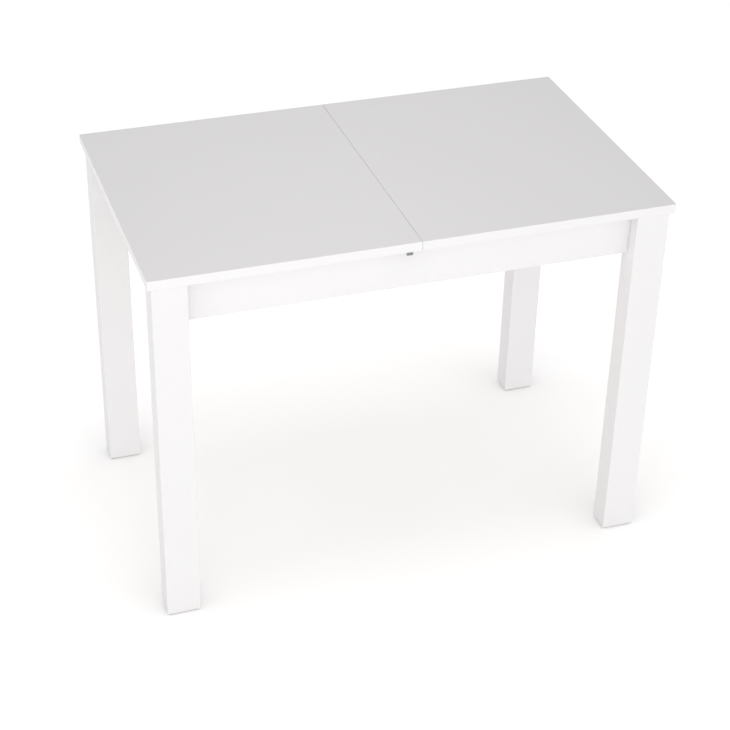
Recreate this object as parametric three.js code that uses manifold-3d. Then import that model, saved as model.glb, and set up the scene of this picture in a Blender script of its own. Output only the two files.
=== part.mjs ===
// Extendable dining table: a fixed frame on four board legs carries a top in two halves. Each half
// slides outwards on hardwood runners, and an extension leaf lies crosswise on battens under the top.
// Millimetres. +Z is up, +X runs along the table, and the origin is on the floor under its centre.
// Sizes called UP are heights above the floor; OUT means away from the table's centre along Y.
import * as THREE from 'three';
import { mergeVertices } from 'three/addons/utils/BufferGeometryUtils.js';
import Module from 'manifold-3d';

const wasm = await Module();
wasm.setup();

// ---------------------------------------------------------------- driving dimensions

const TABLE_LENGTH = 1000;
const TABLE_WIDTH = 600;
const TABLE_HEIGHT = 750;
const EXTENSION_TRAVEL = 175;

const TOP_THICKNESS = 18;
const TOP_CORNER_RADIUS = 3;
const SEAM_GAP = 0.5;
const TOP_RUNNING_GAP = 0.6;
const SEAT_GAP = 0.2;

const LEG_WIDTH = 65;
const LEG_DEPTH = 48;
const LEG_EDGE_RADIUS = 1;
const LEG_INSET_ENDS = 8;
const LEG_INSET_SIDES = 8;
const GLIDE_THICKNESS = 2.5;
const GLIDE_MARGIN = 2;

const APRON_HEIGHT = 90;
const APRON_THICKNESS = 18;
const LONG_APRON_SETBACK = 26;
const SHORT_APRON_SETBACK = 22;

const GUIDE_WIDTH = 22;
const GUIDE_HEIGHT = 32;
const GUIDE_TOP_CLEARANCE = 3;
const RUNNER_THICKNESS = 16;
const RUNNER_SIDE_CLEARANCE = 0.6;
const RUNNER_BOTTOM_CLEARANCE = 2;
const RUNNER_LEG_CLEARANCE = 1.4;
const RUNNER_REACH = 150;
const TONGUE_HEIGHT = 8;
const TONGUE_DEPTH = 6;
const TONGUE_CLEARANCE = 0.5;

const BUMPER_RADIUS = 6;
const BUMPER_THICKNESS = 3;
const BUMPER_CLEARANCE = 1;

const LEAF_CLEARANCE = 0.8;
const BATTEN_WIDTH = 60;
const BATTEN_THICKNESS = 20;
const BATTEN_REBATE = 4;
const BATTEN_LIP = 10;

const DOWEL_RADIUS = 4;
const DOWEL_LENGTH = 35;
const DOWEL_REACH = 10;
const DOWEL_CLEARANCE = 0.3;
const DOWEL_SPACING = 200;

const STEEL_THICKNESS = 2;
const CORNER_BRACKET_FLANGE = 28;
const CORNER_BRACKET_STANDOFF = 20;
const CORNER_BRACKET_MARGIN = 2;
const LEG_BOLT_RADIUS = 4;
const LEG_BOLT_CLEARANCE = 0.4;
const LEG_BOLT_IN_LEG = 28;
const LEG_BOLT_TAIL = 14;
const LEG_BOLT_APRON_CLEARANCE = 1;
const LEG_NUT_ACROSS_CORNERS = 15;
const LEG_NUT_THICKNESS = 6.5;
const BATTEN_BRACKET_LENGTH = 30;
const BATTEN_BRACKET_FLANGE = 24;

const LATCH_TRAVEL = 6;
const LATCH_PLATE_THICKNESS = 2;
const LATCH_LENGTH = 36;
const LATCH_CENTRE_X = -23;
const LATCH_TAB_WIDTH = 12;
const LATCH_TAB_DROP = 7.5;
const LATCH_TAB_SETBACK = 2;
const LATCH_TAB_REACH = 4;
const LATCH_ARM_WIDTH = 4;
const LATCH_TOOTH_WIDTH = 3.5;
const LATCH_TOOTH_LENGTH = 4;
const LATCH_APRON_CLEARANCE = 1;
const LATCH_SLOT_EDGE = 3.5;
const LATCH_GAP = 0.3;
const LATCH_PLAY = 0.5;
const KEEPER_X = 11;
const KEEPER_RADIUS = 2;
const SMALL_SCREW_RADIUS = 2.2;
const SMALL_SCREW_HEAD_RADIUS = 4;
const SMALL_SCREW_HEAD_THICKNESS = 2;
const SMALL_SCREW_LENGTH = 8;
const SMALL_SCREW_CLEARANCE = 0.3;

const ROUND_SIDES = 24;
const SMALL_ROUND_SIDES = 16;
const CORNER_STEPS = 4;

// ---------------------------------------------------------------- sizes worked out from them

const HALF_LENGTH = TABLE_LENGTH / 2;
const HALF_WIDTH = TABLE_WIDTH / 2;
const HALF_SEAM = SEAM_GAP / 2;
const TOP_UNDERSIDE = TABLE_HEIGHT - TOP_THICKNESS;
const FRAME_TOP = TOP_UNDERSIDE - TOP_RUNNING_GAP;
const LEG_BOTTOM = GLIDE_THICKNESS + SEAT_GAP;

const LEG_OUTER_X = HALF_LENGTH - LEG_INSET_ENDS;
const LEG_INNER_X = LEG_OUTER_X - LEG_WIDTH;
const LEG_OUTER_Y = HALF_WIDTH - LEG_INSET_SIDES;
const LEG_INNER_Y = LEG_OUTER_Y - LEG_DEPTH;

const APRON_BOTTOM = FRAME_TOP - APRON_HEIGHT;
const LONG_APRON_OUTER_Y = LEG_OUTER_Y - LONG_APRON_SETBACK;
const LONG_APRON_INNER_Y = LONG_APRON_OUTER_Y - APRON_THICKNESS;
const SHORT_APRON_OUTER_X = LEG_OUTER_X - SHORT_APRON_SETBACK;
const SHORT_APRON_INNER_X = SHORT_APRON_OUTER_X - APRON_THICKNESS;

const GUIDE_TOP = TOP_UNDERSIDE - GUIDE_TOP_CLEARANCE;
const GUIDE_BOTTOM = GUIDE_TOP - GUIDE_HEIGHT;
const GUIDE_MIDDLE = (GUIDE_TOP + GUIDE_BOTTOM) / 2;
const BATTEN_TOP = GUIDE_BOTTOM - SEAT_GAP;
const BATTEN_BOTTOM = BATTEN_TOP - BATTEN_THICKNESS;
const CORNER_BRACKET_BOTTOM = APRON_BOTTOM + CORNER_BRACKET_MARGIN;
const CORNER_BRACKET_TOP = BATTEN_BOTTOM - CORNER_BRACKET_MARGIN;
const RUNNER_BOTTOM = BATTEN_TOP + RUNNER_BOTTOM_CLEARANCE;
const RUNNER_TOP = TOP_UNDERSIDE - SEAT_GAP;

const OUTER_RUNNER_OUT = Math.min(LEG_INNER_Y, LONG_APRON_INNER_Y) - RUNNER_LEG_CLEARANCE;
const OUTER_RUNNER_IN = OUTER_RUNNER_OUT - RUNNER_THICKNESS;
const GUIDE_OUT = OUTER_RUNNER_IN - RUNNER_SIDE_CLEARANCE;
const GUIDE_IN = GUIDE_OUT - GUIDE_WIDTH;
const INNER_RUNNER_OUT = GUIDE_IN - RUNNER_SIDE_CLEARANCE;
const INNER_RUNNER_IN = INNER_RUNNER_OUT - RUNNER_THICKNESS;
const BUMPER_FACE_X = SHORT_APRON_INNER_X - SEAT_GAP - BUMPER_THICKNESS;
const RUNNER_OUTER_END = BUMPER_FACE_X - BUMPER_CLEARANCE - EXTENSION_TRAVEL;

const LEAF_LENGTH = 2 * EXTENSION_TRAVEL;
const LEAF_WIDTH = TABLE_WIDTH;
const LEAF_BOTTOM = BATTEN_TOP - BATTEN_REBATE + SEAT_GAP;
const BATTEN_OUTER_X = LEAF_WIDTH / 2 + LEAF_CLEARANCE + BATTEN_LIP;
const BATTEN_INNER_X = BATTEN_OUTER_X - BATTEN_WIDTH;

const LATCH_TOP = TOP_UNDERSIDE - LATCH_GAP;
const LATCH_BOTTOM = LATCH_TOP - LATCH_PLATE_THICKNESS;
const LATCH_TAB_OUT = HALF_WIDTH - LATCH_TAB_SETBACK;
const LATCH_BODY_OUT = LATCH_TAB_OUT - LATCH_TAB_REACH;
const LATCH_BODY_IN = LONG_APRON_OUTER_Y + LATCH_TRAVEL + LATCH_APRON_CLEARANCE;
const LATCH_ARM_OUT = LATCH_BODY_OUT - LATCH_PLAY;
const LATCH_ARM_IN = LATCH_ARM_OUT - LATCH_ARM_WIDTH;
const LATCH_SLOT_WIDTH = 2 * (SMALL_SCREW_RADIUS + LATCH_GAP);
const LATCH_SLOT_LENGTH = LATCH_SLOT_WIDTH + LATCH_TRAVEL;
const LATCH_SLOT_IN = (LATCH_BODY_IN + LATCH_BODY_OUT - LATCH_SLOT_LENGTH) / 2;
const LATCH_SCREW_OUT = LATCH_SLOT_IN + LATCH_SLOT_WIDTH / 2;
const LATCH_SCREW_X = [-1, 1].map(
  (side) => LATCH_CENTRE_X + side * (LATCH_LENGTH / 2 - LATCH_SLOT_EDGE - LATCH_SLOT_WIDTH / 2),
);
const KEEPER_OUT = LATCH_ARM_IN - LATCH_TRAVEL - LATCH_PLAY - KEEPER_RADIUS;
const TOOTH_START_X = KEEPER_X + KEEPER_RADIUS + LATCH_PLAY;
const SMALL_SCREW_HEAD_TOP = LATCH_BOTTOM - LATCH_GAP;

// ---------------------------------------------------------------- finishes

/** A material with its colour, roughness and metalness. */
function finish(color, roughness, metalness = 0) {
  return new THREE.MeshStandardMaterial({ color, roughness, metalness });
}

const FINISHES = {
  foiledBoard: () => finish(0xf1efed, 0.45),
  beech: () => finish(0xd9b88c, 0.6),
  pine: () => finish(0xe2cba0, 0.65),
  zincSteel: () => finish(0xb9bcc0, 0.35, 0.9),
  greySteel: () => finish(0x8f9093, 0.45, 0.8),
  greyPlastic: () => finish(0x8c8a88, 0.6),
  rubber: () => finish(0x2b2b2c, 0.85),
};

// ---------------------------------------------------------------- shape helpers

// Turns a shape one step round its axes, exactly: X becomes Y, Y becomes Z and Z becomes X.
const AXIS_STEP = new THREE.Matrix4().set(0, 0, 1, 0, 1, 0, 0, 0, 0, 1, 0, 0, 0, 0, 0, 1);
const STEPS_FROM_CYLINDER = { y: 0, z: 1, x: 2 };

/** Makes a closed solid of a geometry whose corners are shared. */
function toSolid(geometry) {
  const bare = geometry.clone();
  bare.deleteAttribute('normal');
  bare.deleteAttribute('uv');
  const merged = mergeVertices(bare, 1e-4);
  const vertProperties = new Float32Array(merged.attributes.position.array);
  const triVerts = new Uint32Array(merged.index.array);
  return new wasm.Manifold(new wasm.Mesh({ numProp: 3, vertProperties, triVerts }));
}

/** Turns a solid back into a flat-shaded geometry. */
function toGeometry(solid) {
  const mesh = solid.getMesh();
  const indexed = new THREE.BufferGeometry();
  indexed.setAttribute('position', new THREE.BufferAttribute(mesh.vertProperties, 3));
  indexed.setIndex(new THREE.BufferAttribute(mesh.triVerts, 1));
  const geometry = indexed.toNonIndexed();
  geometry.computeVertexNormals();
  return geometry;
}

/** A named mesh whose geometry is written about its own centre. */
function piece(name, geometry, material, centre) {
  const mesh = new THREE.Mesh(geometry, material);
  mesh.name = name;
  mesh.position.set(...centre);
  return mesh;
}

/** Cuts tools out of a placed piece. The tools are written in the group's own coordinates. */
function cut(mesh, tools) {
  const { x, y, z } = mesh.position;
  let solid = toSolid(mesh.geometry);
  for (const tool of tools) {
    solid = solid.subtract(toSolid(tool.clone().translate(-x, -y, -z)));
  }
  mesh.geometry = toGeometry(solid);
  return mesh;
}

/** Joins more shapes onto a placed piece. The shapes are written in the group's own coordinates. */
function join(mesh, shapes) {
  const { x, y, z } = mesh.position;
  let solid = toSolid(mesh.geometry);
  for (const shape of shapes) {
    solid = solid.add(toSolid(shape.clone().translate(-x, -y, -z)));
  }
  mesh.geometry = toGeometry(solid);
  return mesh;
}

/** An outline of straight lines through the given points. */
function outline(points) {
  const shape = new THREE.Shape();
  points.forEach(([u, v], index) => (index === 0 ? shape.moveTo(u, v) : shape.lineTo(u, v)));
  shape.closePath();
  return shape;
}

/** A rectangle about its centre, with rounded corners if a radius is given. */
function rectangle(width, depth, radius) {
  const w = width / 2;
  const d = depth / 2;
  if (radius === 0) {
    return outline([[-w, -d], [w, -d], [w, d], [-w, d]]);
  }
  const shape = new THREE.Shape();
  shape.moveTo(-w + radius, -d);
  shape.lineTo(w - radius, -d);
  shape.absarc(w - radius, -d + radius, radius, -Math.PI / 2, 0);
  shape.lineTo(w, d - radius);
  shape.absarc(w - radius, d - radius, radius, 0, Math.PI / 2);
  shape.lineTo(-w + radius, d);
  shape.absarc(-w + radius, d - radius, radius, Math.PI / 2, Math.PI);
  shape.lineTo(-w, -d + radius);
  shape.absarc(-w + radius, -d + radius, radius, Math.PI, Math.PI * 1.5);
  return shape;
}

/** A slot along Y about its centre, with half-round ends. */
function slotOutline(width, length) {
  const radius = width / 2;
  const reach = length / 2 - radius;
  const shape = new THREE.Shape();
  shape.moveTo(radius, -reach);
  shape.lineTo(radius, reach);
  shape.absarc(0, reach, radius, 0, Math.PI);
  shape.lineTo(-radius, -reach);
  shape.absarc(0, -reach, radius, Math.PI, 2 * Math.PI);
  return shape;
}

/** Extrudes an outline of X and Y upwards from z = 0. */
function upright(shape, height) {
  const settings = { depth: height, bevelEnabled: false, curveSegments: CORNER_STEPS };
  return new THREE.ExtrudeGeometry(shape, settings);
}

/** Extrudes an outline of Y and Z along X, from x = 0. */
function lengthwise(shape, length) {
  return upright(shape, length).applyMatrix4(AXIS_STEP);
}

/** A round rod about the given centre, along the x, y or z axis. */
function rod(axis, [x, y, z], radius, length, sides = SMALL_ROUND_SIDES) {
  const geometry = new THREE.CylinderGeometry(radius, radius, length, sides);
  for (let step = 0; step < STEPS_FROM_CYLINDER[axis]; step += 1) {
    geometry.applyMatrix4(AXIS_STEP);
  }
  return geometry.translate(x, y, z);
}

/** A block between its lowest and its highest corner. */
function block(low, high) {
  const size = high.map((value, axis) => value - low[axis]);
  const centre = high.map((value, axis) => (value + low[axis]) / 2);
  return new THREE.BoxGeometry(...size).translate(...centre);
}

/** A board between two opposite corners, given in any order, with rounded upright edges. */
function board(name, cornerA, cornerB, material, radius = 0) {
  const low = cornerA.map((value, axis) => Math.min(value, cornerB[axis]));
  const high = cornerA.map((value, axis) => Math.max(value, cornerB[axis]));
  const [width, depth, height] = high.map((value, axis) => value - low[axis]);
  const centre = high.map((value, axis) => (value + low[axis]) / 2);
  const geometry = upright(rectangle(width, depth, radius), height).translate(0, 0, -height / 2);
  return piece(name, geometry, material, centre);
}

// ---------------------------------------------------------------- where things stand

const CORNERS = [
  { name: 'front_left', sx: -1, sy: -1 },
  { name: 'front_right', sx: 1, sy: -1 },
  { name: 'back_left', sx: -1, sy: 1 },
  { name: 'back_right', sx: 1, sy: 1 },
];
const LONG_SIDES = [{ name: 'front', sy: -1 }, { name: 'back', sy: 1 }];
const ENDS = [{ name: 'left', sx: -1 }, { name: 'right', sx: 1 }];

// Each half has an outer runner on one long side and an inner runner on the other, so that the
// two halves' runners pass each other on the two flanks of the same guide.
const RUNNERS = [
  { name: 'left_outer', sx: -1, sy: -1, outer: true },
  { name: 'left_inner', sx: -1, sy: 1, outer: false },
  { name: 'right_outer', sx: 1, sy: 1, outer: true },
  { name: 'right_inner', sx: 1, sy: -1, outer: false },
];

/** The dowel places along an edge, from one end to the other. */
const DOWEL_PLACES = [-DOWEL_SPACING, 0, DOWEL_SPACING];
const DOWEL_NAMES = ['front', 'middle', 'back'];
const LEAF_DOWEL_NAMES = ['left', 'middle', 'right'];

// ---------------------------------------------------------------- legs and their fixings

const BOLT_UP = (CORNER_BRACKET_BOTTOM + CORNER_BRACKET_TOP) / 2;
const BOLT_FROM_APRON = Math.SQRT2 * (LEG_BOLT_RADIUS + LEG_BOLT_APRON_CLEARANCE);
const BOLT_ENTRY_Y = LEG_INNER_Y;
const BOLT_ENTRY_X = LEG_INNER_X + Math.max(0, LEG_INNER_Y - LONG_APRON_INNER_Y + BOLT_FROM_APRON);

/** A rod on the horizontal diagonal of a corner, between two distances from where the bolt enters the leg. */
function diagonalRod({ sx, sy }, from, to, radius, sides) {
  const direction = new THREE.Vector3(-sx, -sy, 0).normalize();
  const geometry = new THREE.CylinderGeometry(radius, radius, to - from, sides);
  const turn = new THREE.Quaternion().setFromUnitVectors(new THREE.Vector3(0, 1, 0), direction);
  const start = new THREE.Vector3(sx * BOLT_ENTRY_X, sy * BOLT_ENTRY_Y, BOLT_UP);
  const centre = start.addScaledVector(direction, (from + to) / 2);
  return geometry.applyQuaternion(turn).translate(centre.x, centre.y, centre.z);
}

/** A board leg with the blind hole that its hanger bolt sits in. */
function leg(corner) {
  const { name, sx, sy } = corner;
  const outer = [sx * LEG_OUTER_X, sy * LEG_OUTER_Y, LEG_BOTTOM];
  const inner = [sx * LEG_INNER_X, sy * LEG_INNER_Y, FRAME_TOP];
  const mesh = board(`leg_${name}`, outer, inner, FINISHES.foiledBoard(), LEG_EDGE_RADIUS);
  const hole = diagonalRod(
    corner,
    -LEG_BOLT_IN_LEG - LEG_BOLT_CLEARANCE,
    LEG_BOLT_TAIL,
    LEG_BOLT_RADIUS + LEG_BOLT_CLEARANCE,
    ROUND_SIDES,
  );
  return cut(mesh, [hole]);
}

/** The thin plastic glide under a leg, a little smaller than the leg's end. */
function footGlide({ name, sx, sy }) {
  const outer = [sx * (LEG_OUTER_X - GLIDE_MARGIN), sy * (LEG_OUTER_Y - GLIDE_MARGIN), 0];
  const inner = [sx * (LEG_INNER_X + GLIDE_MARGIN), sy * (LEG_INNER_Y + GLIDE_MARGIN), GLIDE_THICKNESS];
  return board(`foot_glide_${name}`, outer, inner, FINISHES.greyPlastic(), LEG_EDGE_RADIUS);
}

/** The steel plate bent across an inside corner, with a flange on each apron and a hole for the bolt. */
function cornerBracket(corner) {
  const { name, sx, sy } = corner;
  const apronX = SHORT_APRON_INNER_X - SEAT_GAP;
  const apronY = LONG_APRON_INNER_Y - SEAT_GAP;
  const diagonal = BOLT_ENTRY_X + BOLT_ENTRY_Y - CORNER_BRACKET_STANDOFF * Math.SQRT2;
  const bend = STEEL_THICKNESS * (Math.SQRT2 - 1);
  const points = [
    [diagonal - apronY - CORNER_BRACKET_FLANGE, apronY],
    [diagonal - apronY, apronY],
    [apronX, diagonal - apronX],
    [apronX, diagonal - apronX - CORNER_BRACKET_FLANGE],
    [apronX - STEEL_THICKNESS, diagonal - apronX - CORNER_BRACKET_FLANGE],
    [apronX - STEEL_THICKNESS, diagonal - apronX - bend],
    [diagonal - apronY - bend, apronY - STEEL_THICKNESS],
    [diagonal - apronY - CORNER_BRACKET_FLANGE, apronY - STEEL_THICKNESS],
  ];
  const plan = outline(points.map(([x, y]) => [sx * x, sy * y]));
  const height = CORNER_BRACKET_TOP - CORNER_BRACKET_BOTTOM;
  const geometry = upright(plan, height).translate(0, 0, CORNER_BRACKET_BOTTOM);
  const mesh = piece(`corner_bracket_${name}`, geometry, FINISHES.zincSteel(), [0, 0, 0]);
  const hole = diagonalRod(
    corner,
    0,
    CORNER_BRACKET_STANDOFF + STEEL_THICKNESS + LEG_BOLT_TAIL,
    LEG_BOLT_RADIUS + LEG_BOLT_CLEARANCE,
    ROUND_SIDES,
  );
  return cut(mesh, [hole]);
}

/** The hanger bolt that runs from a leg through the corner bracket. */
function legBolt(corner) {
  const tip = CORNER_BRACKET_STANDOFF + STEEL_THICKNESS + LEG_BOLT_TAIL;
  const geometry = diagonalRod(corner, -LEG_BOLT_IN_LEG, tip, LEG_BOLT_RADIUS, SMALL_ROUND_SIDES);
  return piece(`leg_bolt_${corner.name}`, geometry, FINISHES.zincSteel(), [0, 0, 0]);
}

/** The hexagon nut that pulls the leg up against the bracket. */
function legNut(corner) {
  const seat = CORNER_BRACKET_STANDOFF + STEEL_THICKNESS + SEAT_GAP;
  const end = seat + LEG_NUT_THICKNESS;
  const geometry = diagonalRod(corner, seat, end, LEG_NUT_ACROSS_CORNERS / 2, 6);
  const mesh = piece(`leg_nut_${corner.name}`, geometry, FINISHES.zincSteel(), [0, 0, 0]);
  const bore = diagonalRod(corner, seat - 1, end + 1, LEG_BOLT_RADIUS + LEG_BOLT_CLEARANCE, ROUND_SIDES);
  return cut(mesh, [bore]);
}

// ---------------------------------------------------------------- aprons, guides and battens

/** An apron between the legs of a long side. */
function longApron({ name, sy }) {
  const end = LEG_INNER_X - SEAT_GAP;
  const outer = [-end, sy * LONG_APRON_OUTER_Y, APRON_BOTTOM];
  const inner = [end, sy * LONG_APRON_INNER_Y, FRAME_TOP];
  return board(`apron_${name}`, outer, inner, FINISHES.foiledBoard());
}

/** An apron between the legs of a short end. */
function shortApron({ name, sx }) {
  const end = LEG_INNER_Y - SEAT_GAP;
  const outer = [sx * SHORT_APRON_OUTER_X, -end, APRON_BOTTOM];
  const inner = [sx * SHORT_APRON_INNER_X, end, FRAME_TOP];
  return board(`apron_${name}`, outer, inner, FINISHES.foiledBoard());
}

/** The fixed hardwood guide of a long side, with a groove along each flank. */
function guideRail({ name, sy }) {
  const half = GUIDE_WIDTH / 2;
  const grooveFloor = half - TONGUE_DEPTH - TONGUE_CLEARANCE;
  const lip = TONGUE_HEIGHT / 2 + TONGUE_CLEARANCE;
  const top = GUIDE_HEIGHT / 2;
  const flank = [
    [half, -top],
    [half, -lip],
    [grooveFloor, -lip],
    [grooveFloor, lip],
    [half, lip],
    [half, top],
  ];
  const otherFlank = flank.map(([y, z]) => [-y, -z]);
  const length = 2 * (SHORT_APRON_INNER_X - SEAT_GAP);
  const geometry = lengthwise(outline([...flank, ...otherFlank]), length).translate(-length / 2, 0, 0);
  const centre = [0, sy * (GUIDE_OUT + GUIDE_IN) / 2, GUIDE_MIDDLE];
  return piece(`guide_rail_${name}`, geometry, FINISHES.beech(), centre);
}

/** A batten across the frame, with a rebate that the stored leaf lies in. */
function leafBatten({ name, sx }) {
  const end = LONG_APRON_INNER_Y - SEAT_GAP;
  const outer = [sx * BATTEN_OUTER_X, -end, BATTEN_BOTTOM];
  const inner = [sx * BATTEN_INNER_X, end, BATTEN_TOP];
  const mesh = board(`leaf_batten_${name}`, outer, inner, FINISHES.pine());
  const leafEnd = LEAF_WIDTH / 2 + LEAF_CLEARANCE;
  const leafSide = LEAF_LENGTH / 2 + LEAF_CLEARANCE;
  const rebateX = [sx * leafEnd, sx * (BATTEN_INNER_X - 1)].sort((a, b) => a - b);
  const rebate = block(
    [rebateX[0], -leafSide, BATTEN_TOP - BATTEN_REBATE],
    [rebateX[1], leafSide, BATTEN_TOP + 1],
  );
  return cut(mesh, [rebate]);
}

/** The steel angle that holds one end of a batten to a long apron. */
function battenBracket({ name, sx, sy }) {
  const wall = LONG_APRON_INNER_Y - SEAT_GAP;
  const seat = BATTEN_BOTTOM - SEAT_GAP;
  const points = [
    [wall, seat],
    [wall - BATTEN_BRACKET_FLANGE, seat],
    [wall - BATTEN_BRACKET_FLANGE, seat - STEEL_THICKNESS],
    [wall - STEEL_THICKNESS, seat - STEEL_THICKNESS],
    [wall - STEEL_THICKNESS, seat - BATTEN_BRACKET_FLANGE],
    [wall, seat - BATTEN_BRACKET_FLANGE],
  ];
  const section = outline(points.map(([y, z]) => [sy * y, z]));
  const geometry = lengthwise(section, BATTEN_BRACKET_LENGTH).translate(-BATTEN_BRACKET_LENGTH / 2, 0, 0);
  const centre = [sx * (BATTEN_INNER_X + BATTEN_OUTER_X) / 2, 0, 0];
  return piece(`batten_bracket_${name}`, geometry, FINISHES.zincSteel(), centre);
}

/** The distance out from the table's centre line of a runner's middle. */
function runnerMiddle(outer) {
  return outer ? (OUTER_RUNNER_OUT + OUTER_RUNNER_IN) / 2 : (INNER_RUNNER_OUT + INNER_RUNNER_IN) / 2;
}

/** The rubber bumper on a short apron that a runner's end stops against. */
function stopBumper({ sx, sy, outer }) {
  const side = sy < 0 ? 'front' : 'back';
  const end = sx < 0 ? 'left' : 'right';
  const geometry = rod('x', [0, 0, 0], BUMPER_RADIUS, BUMPER_THICKNESS, ROUND_SIDES);
  const centre = [sx * (BUMPER_FACE_X + BUMPER_THICKNESS / 2), sy * runnerMiddle(outer), GUIDE_MIDDLE];
  return piece(`stop_bumper_${side}_${end}`, geometry, FINISHES.rubber(), centre);
}

// ---------------------------------------------------------------- top halves and what they carry

/** The blind holes in a seam edge, one at each dowel place, from x = from to x = to. */
function seamHoles(from, to) {
  const centreX = (from + to) / 2;
  const radius = DOWEL_RADIUS + DOWEL_CLEARANCE;
  const height = TOP_UNDERSIDE + TOP_THICKNESS / 2;
  return DOWEL_PLACES.map((y) => rod('x', [centreX, y, height], radius, Math.abs(to - from)));
}

/** The pilot holes for small screws that go up into the top's underside. */
function pilotHoles(places) {
  const radius = SMALL_SCREW_RADIUS + SMALL_SCREW_CLEARANCE;
  const depth = SMALL_SCREW_LENGTH + SMALL_SCREW_CLEARANCE;
  return places.map(([x, y]) => rod('z', [x, y, TOP_UNDERSIDE + (depth - 1) / 2], radius, depth + 1));
}

const LATCH_SCREW_PLACES = LONG_SIDES.flatMap(({ name, sy }) =>
  LATCH_SCREW_X.map((x, index) => ({ name: `${name}_${index + 1}`, x, y: sy * LATCH_SCREW_OUT })),
);
const KEEPER_PLACES = LONG_SIDES.map(({ name, sy }) => ({ name, x: KEEPER_X, y: sy * KEEPER_OUT }));

/** A half of the top: square corners at the seam and rounded ones at its outer end. */
function topPanel(name, sx) {
  const arcX = sx * (HALF_LENGTH - TOP_CORNER_RADIUS);
  const arcY = HALF_WIDTH - TOP_CORNER_RADIUS;
  const endAngle = sx < 0 ? Math.PI : 0;
  const shape = new THREE.Shape();
  shape.moveTo(sx * HALF_SEAM, -HALF_WIDTH);
  shape.lineTo(arcX, -HALF_WIDTH);
  shape.absarc(arcX, -arcY, TOP_CORNER_RADIUS, -Math.PI / 2, endAngle, sx < 0);
  shape.lineTo(sx * HALF_LENGTH, arcY);
  shape.absarc(arcX, arcY, TOP_CORNER_RADIUS, endAngle, Math.PI / 2, sx < 0);
  shape.lineTo(sx * HALF_SEAM, HALF_WIDTH);
  const geometry = upright(shape, TOP_THICKNESS).translate(0, 0, TOP_UNDERSIDE);
  return piece(name, geometry, FINISHES.foiledBoard(), [0, 0, 0]);
}

/** The left half of the top, which holds the dowels and the latches. */
function leftTop() {
  const mesh = topPanel('table_top_left', -1);
  const depth = DOWEL_LENGTH - DOWEL_REACH + DOWEL_CLEARANCE;
  const screws = LATCH_SCREW_PLACES.map(({ x, y }) => [x, y]);
  return cut(mesh, [...seamHoles(-HALF_SEAM - depth, HALF_SEAM), ...pilotHoles(screws)]);
}

/** The right half of the top, with the holes that the left half's dowels enter. */
function rightTop() {
  const mesh = topPanel('table_top_right', 1);
  const depth = DOWEL_REACH + 1;
  const keepers = KEEPER_PLACES.map(({ x, y }) => [x, y]);
  return cut(mesh, [...seamHoles(-HALF_SEAM, HALF_SEAM + depth), ...pilotHoles(keepers)]);
}

/** One of the dowels in the left half's seam edge. */
function seamDowel(index) {
  const centreX = -HALF_SEAM + DOWEL_REACH - DOWEL_LENGTH / 2;
  const geometry = rod('x', [0, 0, 0], DOWEL_RADIUS, DOWEL_LENGTH);
  const centre = [centreX, DOWEL_PLACES[index], TOP_UNDERSIDE + TOP_THICKNESS / 2];
  return piece(`seam_dowel_${DOWEL_NAMES[index]}`, geometry, FINISHES.beech(), centre);
}

/** A hardwood runner under one half, with a tongue in the guide's groove and a relieved inner end. */
function runner({ name, sx, sy, outer }) {
  const half = RUNNER_THICKNESS / 2;
  const guideSide = outer ? -1 : 1;
  const tongueTip = half + RUNNER_SIDE_CLEARANCE + TONGUE_DEPTH;
  const tongueUp = GUIDE_MIDDLE + TONGUE_HEIGHT / 2;
  const tongueDown = GUIDE_MIDDLE - TONGUE_HEIGHT / 2;
  const points = [
    [-half, RUNNER_BOTTOM],
    [half, RUNNER_BOTTOM],
    [half, tongueDown],
    [tongueTip, tongueDown],
    [tongueTip, tongueUp],
    [half, tongueUp],
    [half, RUNNER_TOP],
    [-half, RUNNER_TOP],
  ];
  const section = outline(points.map(([y, z]) => [sy * guideSide * y, z]));
  const length = RUNNER_OUTER_END + RUNNER_REACH;
  const geometry = lengthwise(section, length).translate(-length / 2, 0, 0);
  const centre = [sx * (RUNNER_OUTER_END - RUNNER_REACH) / 2, sy * runnerMiddle(outer), 0];
  const mesh = piece(`runner_${name}`, geometry, FINISHES.beech(), centre);
  const reliefX = [0, -sx * (RUNNER_REACH + 1)].sort((a, b) => a - b);
  const relief = block(
    [reliefX[0], centre[1] - RUNNER_THICKNESS, FRAME_TOP],
    [reliefX[1], centre[1] + RUNNER_THICKNESS, TOP_UNDERSIDE],
  );
  return cut(mesh, [relief]);
}

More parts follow.
